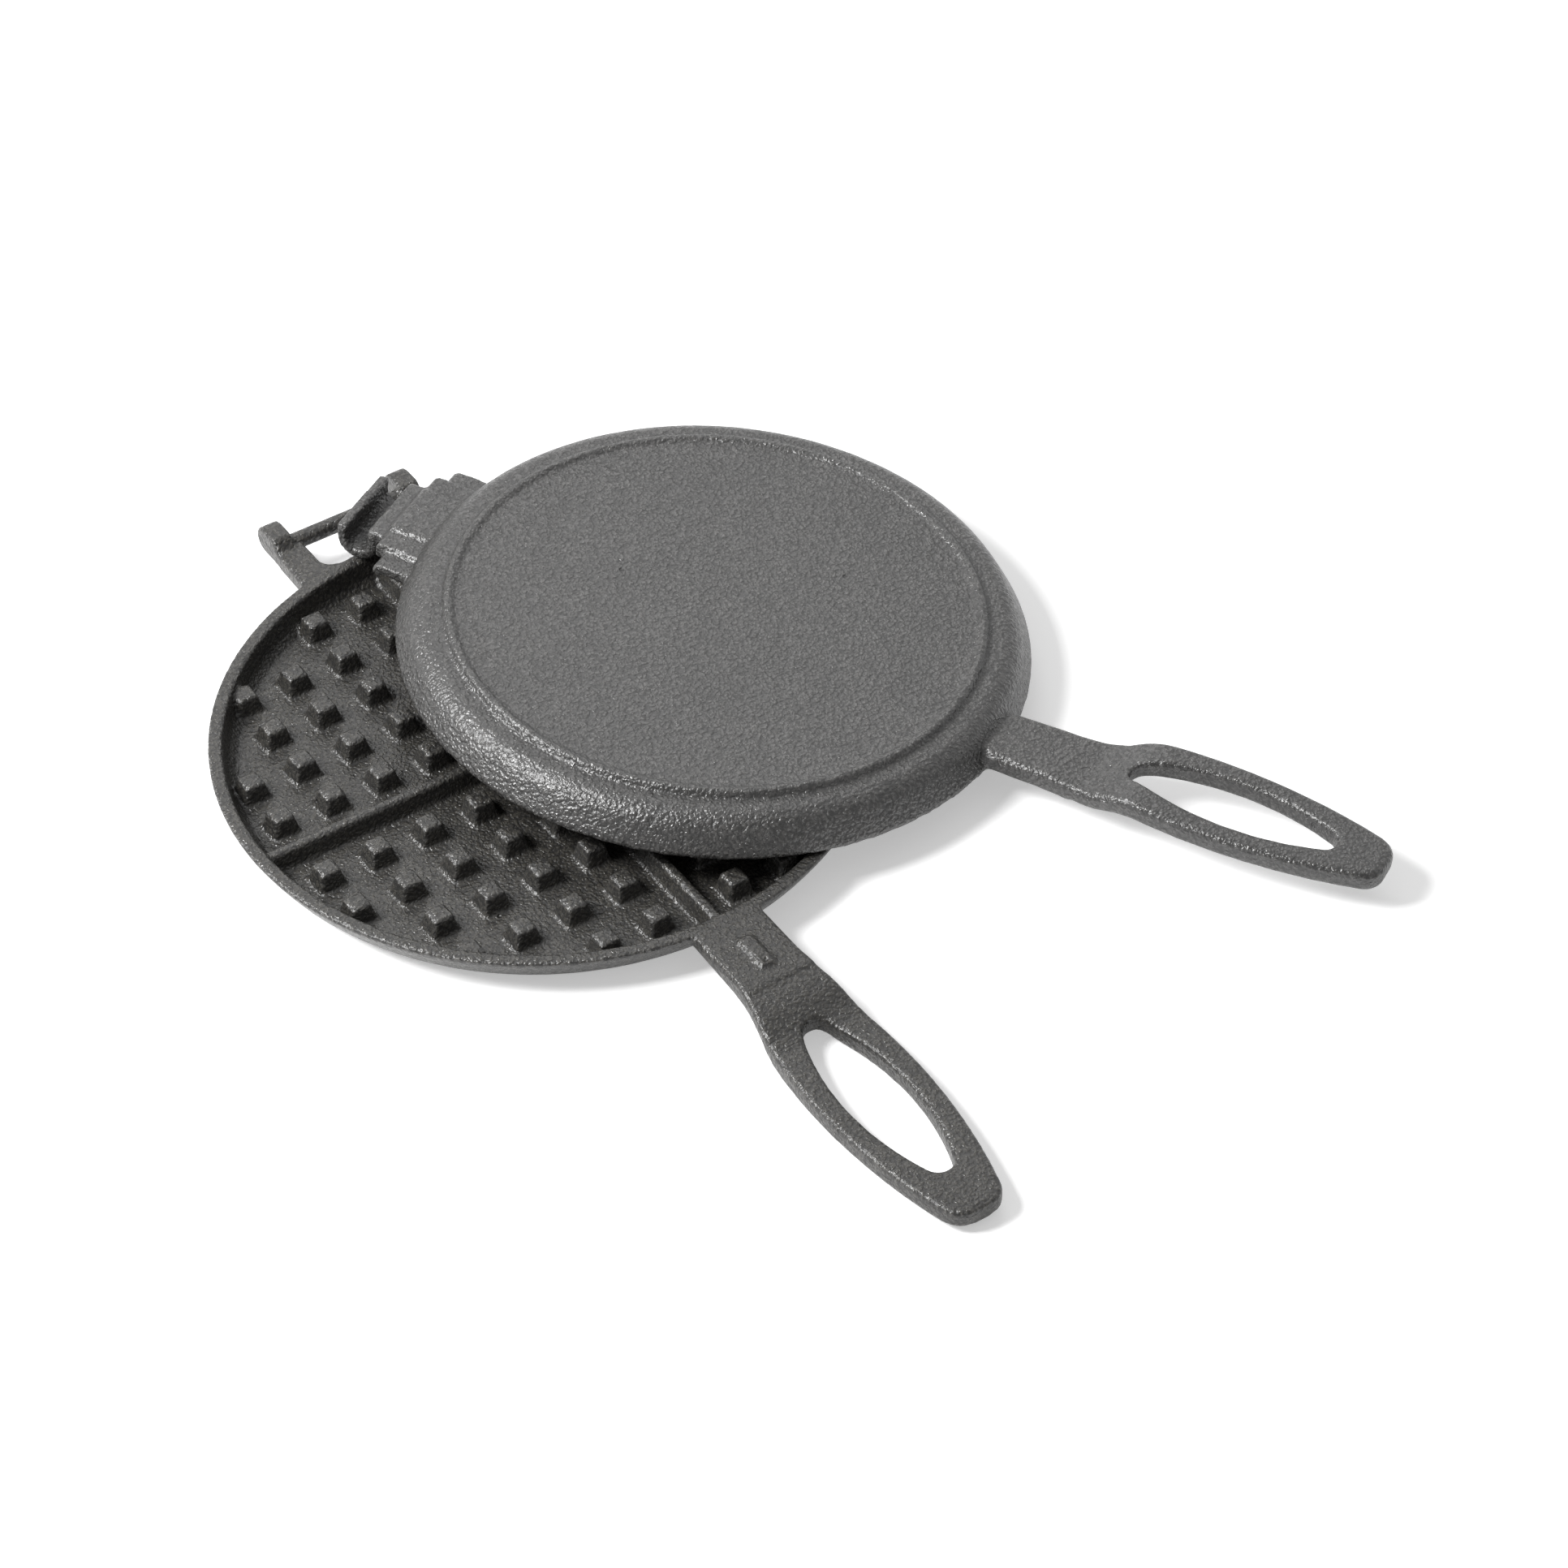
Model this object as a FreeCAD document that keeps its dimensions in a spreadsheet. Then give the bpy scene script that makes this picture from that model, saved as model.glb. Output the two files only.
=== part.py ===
import FreeCAD, Part
import math
import os
import Sketcher
from FreeCAD import Placement, Rotation, Vector

# Round cast-iron waffle iron for a stove: two one-piece castings, a bottom plate and a top plate.
# Each casting is drawn in its own frame: centre of the plate on the parting plane, +Z out of the
# waffle side, +X along its handle. The whole stands with the bottom plate's heat ring on z = 0.
# The top plate lies on the bottom one unhooked, turned and tilted. Lengths are in millimetres.

DRIVING_SIZES = (
    ("rim_radius", 97.0, "outside of the bottom plate's rim"),
    ("rim_land", 4.1, "width of the flat rim"),
    ("lid_share", 0.968, "plan of the top plate's dish and handle against the bottom plate's"),
    ("cavity_depth", 8.3, "rim to floor of the waffle side"),
    ("wall_lean", 1.6, "lean of the cavity wall over its depth"),
    ("floor_bevel", 2.4, "bevel between cavity wall and floor"),
    ("plate_height", 13.5, "rim to the face of the heat ring"),
    ("side_height", 1.2, "straight side below the rim"),
    ("side_end", 7.0, "rim to the end of the leaning side"),
    ("side_slope", 30.0, "lean of that side, degrees"),
    ("shoulder_radius", 9.0, "rounding from the side to the shoulder"),
    ("shoulder_slope", 20.0, "slope of the shoulder outside the ring, degrees"),
    ("ring_radius", 77.0, "inside of the heat ring"),
    ("ring_width", 3.4, "foot of the heat ring"),
    ("ring_height", 1.0, "heat ring above the plain disc"),
    ("ring_lean", 0.8, "lean of each flank of the heat ring"),
    ("ring_drop", 1.2, "plain disc to the lower shoulder outside the ring"),
    ("stud_top", 6.0, "side of a stud's square top"),
    ("stud_pitch", 16.8, "stud to stud"),
    ("stud_first", 13.1, "middle of the plate to the first stud's middle"),
    ("stud_recess", 2.2, "rim to the tops of studs and ribs"),
    ("cast_draft", 12.0, "draft of studs and ribs, degrees"),
    ("rib_top", 3.0, "top of the two dividing ribs"),
    ("trim_sweep", 146.0, "stretch of each side where studs end at the wall, degrees"),
    ("handle_reach", 122.0, "rim to the handle's tip"),
    ("root_half", 11.2, "half width of the handle's root"),
    ("root_top", 0.8, "parting plane to the root's waffle side, under its pad"),
    ("root_bottom", 6.2, "parting plane to the root's outer side"),
    ("pad_reach", 25.6, "rim to the end of the root's pad"),
    ("pad_slope", 1.4, "length of the slope at the pad's end"),
    ("crank_reach", 49.0, "rim to the end of the handle's crank"),
    ("grip_top", 5.4, "parting plane to the grip's waffle side"),
    ("grip_bottom", 11.6, "parting plane to the grip's outer side"),
    ("neck_radius", 70.0, "hollow curve from root to grip"),
    ("belly_radius", 180.0, "long curve of the grip's side"),
    ("belly_reach", 67.0, "rim to the grip's widest place"),
    ("grip_half", 16.5, "half width there"),
    ("tip_corner", 7.0, "corner radius of the tip"),
    ("hole_reach", 73.0, "rim to the middle of the grip's hole"),
    ("hole_half_length", 32.5, "half length of the hole"),
    ("hole_half_width", 9.7, "half width of the hole"),
    ("hole_end", 4.5, "end radius of the hole"),
    ("grip_bevel", 2.2, "bevel of the handle's outer side"),
    ("hole_bevel", 1.8, "bevel of the hole's outer side"),
    ("edge_bevel", 0.7, "bevel of the handle's waffle side"),
    ("key_reach", 8.0, "rim to the start of the locating key"),
    ("key_length", 12.4, "locating key on the bottom plate's root"),
    ("key_width", 4.4, "width of the key"),
    ("key_height", 1.2, "height of the key"),
    ("key_gap", 0.5, "room round the key in its keyway"),
    ("pit_radius", 0.9, "small pit at the key's outer end"),
    ("bar_offset", 113.2, "middle of the plate to the hinge bar's axis"),
    ("bar_drop", 1.2, "rim plane down to the bar's axis, on the bottom plate"),
    ("bar_radius", 2.7, "hinge bar"),
    ("arm_half", 26.4, "middle to the outside of an arm, at the rim"),
    ("arm_taper", 0.8, "narrowing of the arms towards the lugs"),
    ("arm_thickness", 5.2, "depth of the arms"),
    ("window_half", 16.3, "half length of the window between the arms"),
    ("window_corner", 3.5, "corner radius of the window at the rim"),
    ("lug_inner", 19.2, "middle to the inside of a lug"),
    ("lug_start", 109.0, "middle of the plate to the start of a lug"),
    ("lug_end", 122.6, "middle of the plate to the nose of a lug"),
    ("lug_rise", 3.4, "lugs above the rim plane"),
    ("hook_half", 13.4, "half length of the hook"),
    ("hook_gap", 0.9, "room between bar and hook, all round"),
    ("hook_wall", 3.2, "wall of the hook"),
    ("lip_rise", 4.2, "outer lip of the hook past its axis"),
    ("block_gap", 0.5, "hinge block clear of the parting plane"),
    ("block_reach", 10.2, "rim to the face of the hinge block's shoulders"),
    ("block_half", 10.6, "half length of the block's raised middle"),
    ("block_depth", 7.1, "parting plane to the raised middle"),
    ("shoulder_half", 18.4, "half length of the block's shoulders"),
    ("shoulder_depth", 5.9, "parting plane to the shoulders"),
    ("wing_half", 25.4, "half length of the block's wings"),
    ("wing_depth", 4.2, "parting plane to the wings"),
    ("wing_setback", 3.0, "wings behind the shoulders' face"),
    ("block_bevel", 1.4, "bevel on the block's outer edges"),
    ("root_overlap", 4.0, "how far handle and hinge run into the rim's wall"),
    ("lid_shift_x", -1.7, "top plate's middle from the bottom plate's, along the handle"),
    ("lid_shift_y", 60.6, "the same, across the handle"),
    ("lid_turn", 30.0, "turn of the top plate's handle, degrees"),
    ("fall_turn", 61.0, "direction in which the top plate slopes down, degrees"),
    ("rest_gap", 0.6, "clearance where the top plate lies on the bottom plate"),
)

# Studs in each row of a quarter, from the rib outwards
STUDS_IN_ROW = (5, 5, 4, 4, 2)

# Sizes of the handle's plan, which are smaller on the top plate
HANDLE_PLAN = (
    "handle_reach", "root_half", "pad_reach", "pad_slope", "crank_reach", "neck_radius", "belly_radius",
    "belly_reach", "grip_half", "tip_corner", "hole_reach", "hole_half_length", "hole_half_width",
    "hole_end",
)

# How far the ribs run into the lean of the cavity wall
RIB_END_SHARE = 0.25

# How far a face's normal leans up where the face counts as a top, or as a side
UPRIGHT_SHARE = 0.6
SIDEWAYS_SHARE = 0.1


class Size:
    """A size of the sheet, or a sum of such sizes: its formula and its value."""

    def __init__(self, formula, value):
        self.formula = formula
        self.value = value

    def __add__(self, other):
        return Size(f"({self.formula} + {other.formula})", self.value + other.value)

    def __sub__(self, other):
        return Size(f"({self.formula} - {other.formula})", self.value - other.value)

    def __neg__(self):
        return Size(f"(0 - {self.formula})", -self.value)

    def times(self, number):
        return Size(f"({number} * {self.formula})", number * self.value)

    def shared(self, share):
        return Size(f"({share.formula} * {self.formula})", share.value * self.value)

    def turned(self, function, angle):
        factor = getattr(math, function)(math.radians(angle.value))
        return Size(f"({self.formula} * {function}({angle.formula}))", self.value * factor)


doc = FreeCAD.newDocument("waffle_iron")
sheet = doc.addObject("Spreadsheet::Sheet", "sizes")
size = {}
for row, (alias, number, note) in enumerate(DRIVING_SIZES, start=1):
    sheet.set(f"A{row}", note)
    sheet.set(f"B{row}", str(number))
    sheet.setAlias(f"B{row}", alias)
    size[alias] = Size(f"sizes.{alias}", number)
doc.recompute()
ZERO = size["rim_radius"] - size["rim_radius"]
WHOLE = Size("1", 1)
RIGHT_ANGLE = Size("90", 90)


def origin_plane(body, role):
    return next(feature for feature in body.Origin.OriginFeatures if feature.Role == role)


def sketch_on(body, name, role, lift=None):
    """A sketch on one of the body's origin planes, raised along the plane's normal by lift."""
    sketch = body.newObject("Sketcher::SketchObject", name)
    sketch.AttachmentSupport = [(origin_plane(body, role), "")]
    sketch.MapMode = "FlatFace"
    if lift:
        sketch.setExpression("AttachmentOffset.Base.z", lift.formula)
    return sketch


def fix(sketch, dimensions, relations=()):
    """Adds relations to a sketch, then dimensions (kind, where, length) tied to the sheet."""
    if relations:
        sketch.addConstraint(list(relations))
    first = sketch.ConstraintCount
    sketch.addConstraint([
        Sketcher.Constraint(kind, *where, length.value) for kind, where, length in dimensions
    ])
    for index, (_, _, length) in enumerate(dimensions, start=first):
        sketch.setExpression(f"Constraints[{index}]", length.formula)


def point_at(geometry, end, x, y):
    """The two dimensions that hold one point of a sketch at x, y."""
    return [("DistanceX", (-1, 1, geometry, end), x), ("DistanceY", (-1, 1, geometry, end), y)]


def draw_loops(sketch, loops):
    """Closed outlines through corners (x, y). A corner with a third and a fourth entry starts an
    arc to the next corner: the arc's middle, and True where it runs counter-clockwise."""
    dimensions = []
    relations = []
    for corners in loops:
        first = sketch.GeometryCount
        count = len(corners)
        for index, corner in enumerate(corners):
            following = corners[(index + 1) % count]
            start = Vector(corner[0].value, corner[1].value, 0)
            end = Vector(following[0].value, following[1].value, 0)
            if len(corner) == 2:
                sketch.addGeometry(Part.LineSegment(start, end), False)
            else:
                ends = (start, end) if corner[3] else (end, start)
                sketch.addGeometry(arc(Vector(corner[2][0].value, corner[2][1].value, 0), *ends), False)
                # Both ends are held, so only the middle's place across the chord is left
                flat = abs(end.x - start.x) > abs(end.y - start.y)
                kind, across = ("DistanceY", corner[2][1]) if flat else ("DistanceX", corner[2][0])
                dimensions.append((kind, (-1, 1, first + index, 3), across))
        for index, corner in enumerate(corners):
            before = corners[index - 1]
            start_end = 2 if len(corner) == 4 and not corner[3] else 1
            last_end = 1 if len(before) == 4 and not before[3] else 2
            last = first + (index - 1) % count
            dimensions += point_at(first + index, start_end, corner[0], corner[1])
            relations.append(Sketcher.Constraint("Coincident", last, last_end, first + index, start_end))
    fix(sketch, dimensions, relations)


def arc(middle, start, end):
    """Counter-clockwise arc about a middle, from start to end."""
    circle = Part.Circle(middle, Vector(0, 0, 1), (start - middle).Length)
    return Part.ArcOfCircle(circle, circle.parameter(start), circle.parameter(end))


def draw_circle(sketch, x, y, radius):
    sketch.addGeometry(Part.Circle(Vector(x.value, y.value, 0), Vector(0, 0, 1), radius.value), False)
    fix(sketch, point_at(0, 3, x, y) + [("Radius", (0,), radius)])


def box(low_x, high_x, low_y, high_y):
    return ((low_x, low_y), (high_x, low_y), (high_x, high_y), (low_x, high_y))


def pad(body, name, sketch, length, down=False, both_ways=False):
    feature = body.newObject("PartDesign::Pad", name)
    feature.Profile = sketch
    feature.setExpression("Length", length.formula)
    feature.Reversed = down
    if both_ways:
        feature.Midplane = True
    body.Tip = feature
    return feature


def pocket(body, name, sketch, length, up=False, both_ways=False):
    feature = body.newObject("PartDesign::Pocket", name)
    feature.Profile = sketch
    feature.setExpression("Length", length.formula)
    feature.Reversed = up
    if both_ways:
        feature.Midplane = True
    body.Tip = feature
    return feature


def mirror(body, name, features, role):
    feature = body.newObject("PartDesign::Mirrored", name)
    feature.Originals = features
    feature.MirrorPlane = (origin_plane(body, role), [""])
    body.Tip = feature
    return feature


def crank(start_x, start_z, end_x, end_z):
    """Two equal arcs that lead level from one height down to a lower one."""
    run, drop = end_x - start_x, start_z - end_z
    radius = Size(f"(({run.formula} ^ 2 + {drop.formula} ^ 2) / (4 * {drop.formula}))",
                  (run.value ** 2 + drop.value ** 2) / (4 * drop.value))
    half_way = (start_x + run.times(0.5), start_z - drop.times(0.5))
    return (
        (start_x, start_z, (start_x, start_z - radius), False),
        (*half_way, (end_x, end_z + radius), True),
        (end_x, end_z),
    )


def add_handle(body, rim, share):
    """Flat handle: a root at the rim, cranked away from the parting plane to a grip with a hole."""
    plan = {name: size[name].shared(share) for name in HANDLE_PLAN}
    root_x = rim - size["root_overlap"]
    tip_x = rim + plan["handle_reach"]
    belly_x = rim + plan["belly_reach"]
    belly_y = plan["grip_half"] - plan["belly_radius"]
    root_half = plan["root_half"]

    # Middles of the three side curves and the points where they run into each other
    belly = Vector(belly_x.value, belly_y.value, 0)
    neck_y = root_half.value + plan["neck_radius"].value
    reach = plan["neck_radius"].value + plan["belly_radius"].value
    neck = Vector(belly.x - math.sqrt(reach ** 2 - (neck_y - belly.y) ** 2), neck_y, 0)
    corner_x = tip_x.value - plan["tip_corner"].value
    inner_reach = plan["belly_radius"].value - plan["tip_corner"].value
    corner = Vector(corner_x, belly.y + math.sqrt(inner_reach ** 2 - (corner_x - belly.x) ** 2), 0)
    neck_end = neck + (belly - neck).normalize() * plan["neck_radius"].value
    belly_end = belly + (corner - belly).normalize() * plan["belly_radius"].value

    outline = sketch_on(body, "handle_outline", "XY_Plane")
    root_low = Vector(root_x.value, 0, 0)
    root_high = Vector(root_x.value, root_half.value, 0)
    neck_start = Vector(neck.x, root_half.value, 0)
    corner_end = Vector(tip_x.value, corner.y, 0)
    tip_low = Vector(tip_x.value, 0, 0)
    for line in (
        Part.LineSegment(root_low, root_high),
        Part.LineSegment(root_high, neck_start),
        arc(neck, neck_start, neck_end),
        arc(belly, belly_end, neck_end),
        arc(corner, corner_end, belly_end),
        Part.LineSegment(corner_end, tip_low),
        Part.LineSegment(tip_low, root_low),
    ):
        outline.addGeometry(line, False)
    fix(outline, point_at(3, 3, belly_x, belly_y) + [
        ("DistanceX", (-1, 1, 0, 1), root_x),
        ("DistanceY", (-1, 1, 0, 2), root_half),
        ("DistanceX", (-1, 1, 5, 2), tip_x),
        ("Radius", (2,), plan["neck_radius"]),
        ("Radius", (3,), plan["belly_radius"]),
        ("Radius", (4,), plan["tip_corner"]),
    ], [
        Sketcher.Constraint("Coincident", 0, 2, 1, 1),
        Sketcher.Constraint("Tangent", 1, 2, 2, 1),
        Sketcher.Constraint("Tangent", 2, 2, 3, 2),
        Sketcher.Constraint("Tangent", 3, 1, 4, 2),
        Sketcher.Constraint("Tangent", 4, 1, 5, 1),
        Sketcher.Constraint("Coincident", 5, 2, 6, 1),
        Sketcher.Constraint("Coincident", 6, 2, 0, 1),
        Sketcher.Constraint("Vertical", 0),
        Sketcher.Constraint("Horizontal", 1),
        Sketcher.Constraint("Vertical", 5),
        Sketcher.Constraint("PointOnObject", 6, 1, -1),
        Sketcher.Constraint("PointOnObject", 6, 2, -1),
    ])
    half = pad(body, "handle_half", outline, size["grip_bottom"], down=True)
    mirror(body, "handle_block", [half], "XZ_Plane")

    # Side view: the root's pad, then an easy crank down to the grip
    slope_x = rim + plan["pad_reach"]
    crank_start = slope_x + plan["pad_slope"]
    crank_end = rim + plan["crank_reach"]
    past_x = tip_x + size["root_overlap"]
    before_x = root_x - size["root_overlap"]
    wide = (plan["grip_half"] + size["root_overlap"]).times(2)
    upper = sketch_on(body, "waffle_side_cut", "XZ_Plane")
    draw_loops(upper, [(
        (slope_x, size["root_overlap"]),
        (slope_x, ZERO),
        *crank(crank_start, -size["root_top"], crank_end, -size["grip_top"]),
        (past_x, -size["grip_top"]),
        (past_x, size["root_overlap"]),
    )])
    pocket(body, "waffle_side", upper, wide, both_ways=True)
    lower = sketch_on(body, "outer_side_cut", "XZ_Plane")
    below = -(size["grip_bottom"] + size["root_overlap"])
    draw_loops(lower, [(
        (before_x, below),
        (before_x, -size["root_bottom"]),
        *crank(crank_start, -size["root_bottom"], crank_end, -size["grip_bottom"]),
        (crank_end, below),
    )])
    pocket(body, "outer_side", lower, wide, both_ways=True)

    # Hole of the grip: two long curves and two tight ends
    middle_x = rim + plan["hole_reach"]
    half_span = plan["hole_half_length"].value - plan["hole_end"].value
    long_radius = (half_span ** 2 + plan["hole_half_width"].value ** 2 - plan["hole_end"].value ** 2) / (
        (plan["hole_half_width"].value - plan["hole_end"].value) * 2)
    long_y = plan["hole_half_width"].value - long_radius
    hole = sketch_on(body, "hole_outline", "XY_Plane")
    points = {}
    for side in (1, -1):
        for end in (1, -1):
            long_middle = Vector(middle_x.value, side * long_y, 0)
            end_middle = Vector(middle_x.value + end * half_span, 0, 0)
            points[side, end] = long_middle + (end_middle - long_middle).normalize() * long_radius
    for side in (1, -1):
        long_middle = Vector(middle_x.value, side * long_y, 0)
        hole.addGeometry(arc(long_middle, points[side, side], points[side, -side]), False)
    for end in (1, -1):
        end_middle = Vector(middle_x.value + end * half_span, 0, 0)
        hole.addGeometry(arc(end_middle, points[-end, end], points[end, end]), False)
    width, end_radius = plan["hole_half_width"].formula, plan["hole_end"].formula
    span = f"({plan['hole_half_length'].formula} - {end_radius})"
    long_formula = f"({span} ^ 2 + {width} ^ 2 - {end_radius} ^ 2) / (2 * ({width} - {end_radius}))"
    end_shift = plan["hole_half_length"] - plan["hole_end"]
    fix(hole, point_at(2, 3, middle_x + end_shift, ZERO) + point_at(3, 3, middle_x - end_shift, ZERO) + [
        ("Radius", (2,), plan["hole_end"]),
        ("Radius", (0,), Size(long_formula, long_radius)),
    ], [
        Sketcher.Constraint("Tangent", 0, 1, 2, 2),
        Sketcher.Constraint("Tangent", 2, 1, 1, 2),
        Sketcher.Constraint("Tangent", 1, 1, 3, 2),
        Sketcher.Constraint("Tangent", 3, 1, 0, 2),
        Sketcher.Constraint("Equal", 0, 1),
        Sketcher.Constraint("Equal", 2, 3),
    ])
    pocket(body, "grip_hole", hole, size["grip_bottom"] + size["root_overlap"])

    def bevel(name, amount, facing, at_hole):
        """Bevels the edges between the handle's sides and the face that looks up or down."""
        doc.recompute()
        base = body.Tip
        shape = base.Shape
        chosen = []
        for index, edge in enumerate(shape.Edges, start=1):
            spot = edge.valueAt((edge.FirstParameter + edge.LastParameter) / 2)
            tilts = []
            for face in shape.ancestorsOfType(edge, Part.Face):
                tilts.append(face.normalAt(*face.Surface.parameter(spot)).z * facing)
            slack = size["edge_bevel"].value
            in_hole = abs(spot.x - middle_x.value) < plan["hole_half_length"].value + slack
            in_hole = in_hole and abs(spot.y) < plan["hole_half_width"].value + slack
            between = max(tilts) > UPRIGHT_SHARE and min(tilts) < SIDEWAYS_SHARE
            if between and in_hole == at_hole and spot.x > root_x.value + slack:
                chosen.append(f"Edge{index}")
        feature = body.newObject("PartDesign::Chamfer", name)
        feature.Base = (base, chosen)
        feature.setExpression("Size", amount.formula)
        body.Tip = feature

    bevel("outer_edges", size["grip_bevel"], -1, False)
    bevel("hole_edges", size["hole_bevel"], -1, True)
    bevel("waffle_edges", size["edge_bevel"], 1, False)
    bevel("hole_waffle_edges", size["edge_bevel"], 1, True)


def outer_side(rim):
    """Corners of the dish's outer side in section, from the heat ring's shoulder up to the rim."""
    shoulder_z = size["ring_height"] + size["ring_drop"] - size["plate_height"]
    side_x = rim - (size["side_end"] - size["side_height"]).turned("tan", size["side_slope"])
    radius, slope = size["shoulder_radius"], size["shoulder_slope"]
    round_x = side_x - radius.turned("cos", size["side_slope"])
    round_z = radius.turned("sin", size["side_slope"]) - size["side_end"]
    slope_x = round_x + radius.turned("sin", slope)
    slope_z = round_z - radius.turned("cos", slope)
    shoulder_x = slope_x - (slope_z - shoulder_z).turned("tan", RIGHT_ANGLE - slope)
    return (
        (shoulder_x, shoulder_z),
        (slope_x, slope_z, (round_x, round_z), True),
        (side_x, -size["side_end"]),
        (rim, -size["side_height"]),
        (rim, ZERO),
    )


def add_dish(body, rim):
    """Round plate: flat rim, leaning cavity wall, floor, rounded shoulder and heat ring."""
    profile = sketch_on(body, "dish_profile", "XZ_Plane")
    outer = outer_side(rim)
    disc_z = size["ring_height"] - size["plate_height"]
    floor_z = -size["cavity_depth"]
    wall_foot = rim - size["rim_land"] - size["wall_lean"]
    ring_out = size["ring_radius"] + size["ring_width"]
    draw_loops(profile, [(
        (ZERO, floor_z),
        (ZERO, disc_z),
        (size["ring_radius"], disc_z),
        (size["ring_radius"] + size["ring_lean"], -size["plate_height"]),
        (ring_out - size["ring_lean"], -size["plate_height"]),
        (ring_out, outer[0][1]),
        *outer,
        (rim - size["rim_land"], ZERO),
        (wall_foot, floor_z + size["floor_bevel"]),
        (wall_foot - size["floor_bevel"], floor_z),
    )])
    turned = body.newObject("PartDesign::Revolution", "dish")
    turned.Profile = profile
    turned.ReferenceAxis = (profile, ["V_Axis"])
    turned.Angle = 360
    body.Tip = turned


def add_studs(body, rim):
    """Two ribs that quarter the cavity, and the square studs of each quarter."""
    floor_z, top_z = -size["cavity_depth"], -size["stud_recess"]
    spread = (top_z - floor_z).turned("tan", size["cast_draft"])
    for name, role in (("rib_along", "YZ_Plane"), ("rib_across", "XZ_Plane")):
        half = size["rib_top"].times(0.5)
        section = sketch_on(body, name + "_section", role)
        draw_loops(section, [(
            (-half - spread, floor_z),
            (half + spread, floor_z),
            (half, top_z),
            (-half, top_z),
        )])
        rib_end = rim - size["rim_land"] - size["wall_lean"].times(RIB_END_SHARE)
        pad(body, name, section, rib_end.times(2), both_ways=True)
    half = size["stud_top"].times(0.5)
    foot = half + spread
    x = size["stud_first"]
    for row, count in enumerate(STUDS_IN_ROW):
        y = size["stud_first"] + size["stud_pitch"].times(row)
        stud = body.newObject("PartDesign::AdditiveWedge", f"row_{row + 1}_stud")
        stud.AttachmentSupport = [(origin_plane(body, "XZ_Plane"), "")]
        stud.MapMode = "FlatFace"
        for name, place in (
            ("Xmin", x - foot), ("Xmax", x + foot), ("X2min", x - half), ("X2max", x + half),
            ("Zmin", y - foot), ("Zmax", y + foot), ("Z2min", y - half), ("Z2max", y + half),
            ("Ymin", floor_z), ("Ymax", top_z),
        ):
            stud.setExpression(name, place.formula)
        along = body.newObject("PartDesign::LinearPattern", f"row_{row + 1}_pitch")
        along.Direction = (origin_plane(body, "X_Axis"), [""])
        along.setExpression("Length", size["stud_pitch"].times(count - 1).formula)
        along.Occurrences = count
        steps = [along]
        for role in ("XZ_Plane", "YZ_Plane"):
            flip = body.newObject("PartDesign::Mirrored", f"row_{row + 1}_flip_{role[:2].lower()}")
            flip.MirrorPlane = (origin_plane(body, role), [""])
            steps.append(flip)
        field = body.newObject("PartDesign::MultiTransform", f"row_{row + 1}")
        field.Originals = [stud]
        field.Transformations = steps
        body.Tip = field

    # Studs at the wall end in it, so what reaches past the outer side is cut away
    outside = sketch_on(body, "outside_section", "YZ_Plane")
    outer = outer_side(rim)
    past = rim + size["root_overlap"]
    draw_loops(outside, [(*outer[1:], (past, ZERO), (past, outer[1][1]))])
    trim = body.newObject("PartDesign::Groove", "stud_trim")
    trim.Profile = outside
    trim.ReferenceAxis = (outside, ["V_Axis"])
    trim.setExpression("Angle", size["trim_sweep"].formula)
    trim.Midplane = True
    body.Tip = trim
    mirror(body, "stud_trims", [trim], "XZ_Plane")


def add_hinge_bar(body, rim):
    """Two arms from the rim, each with a lug, and a round bar between them."""
    lug = sketch_on(body, "lug_side", "XZ_Plane")
    nose = (size["arm_thickness"] + size["lug_rise"]).times(0.5)
    draw_loops(lug, [(
        (-size["lug_start"], -size["arm_thickness"]),
        (-size["lug_start"], ZERO),
        (-size["lug_start"] - size["lug_rise"], size["lug_rise"]),
        (nose - size["lug_end"], size["lug_rise"], (nose - size["lug_end"], size["lug_rise"] - nose), True),
        (nose - size["lug_end"], -size["arm_thickness"]),
    )])
    lug_half = size["arm_half"] - size["arm_taper"]
    pad(body, "lug_block", lug, lug_half.times(2), both_ways=True)
    gap = sketch_on(body, "lug_gap_side", "XZ_Plane")
    spare = size["root_overlap"]
    draw_loops(gap, [box(-size["lug_end"] - spare, spare - size["lug_start"],
                         -size["arm_thickness"] - spare, size["lug_rise"] + spare)])
    pocket(body, "lug_gap", gap, size["lug_inner"].times(2), both_ways=True)
    arm = sketch_on(body, "arm_outline", "XY_Plane")
    inner_x = size["root_overlap"] - rim
    corner = size["window_corner"]
    draw_loops(arm, [(
        (inner_x, size["window_half"] - corner),
        (-rim, size["window_half"] - corner, (-rim - corner, size["window_half"] - corner), True),
        (-rim - corner, size["window_half"]),
        (-size["bar_offset"], size["window_half"]),
        (-size["bar_offset"], lug_half),
        (inner_x, size["arm_half"]),
    )])
    one_arm = pad(body, "arm", arm, size["arm_thickness"], down=True)
    mirror(body, "arms", [one_arm], "XZ_Plane")
    section = sketch_on(body, "bar_section", "XZ_Plane")
    draw_circle(section, -size["bar_offset"], -size["bar_drop"], size["bar_radius"])
    pad(body, "bar", section, (size["lug_inner"] + size["root_overlap"]).times(2), both_ways=True)


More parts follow.
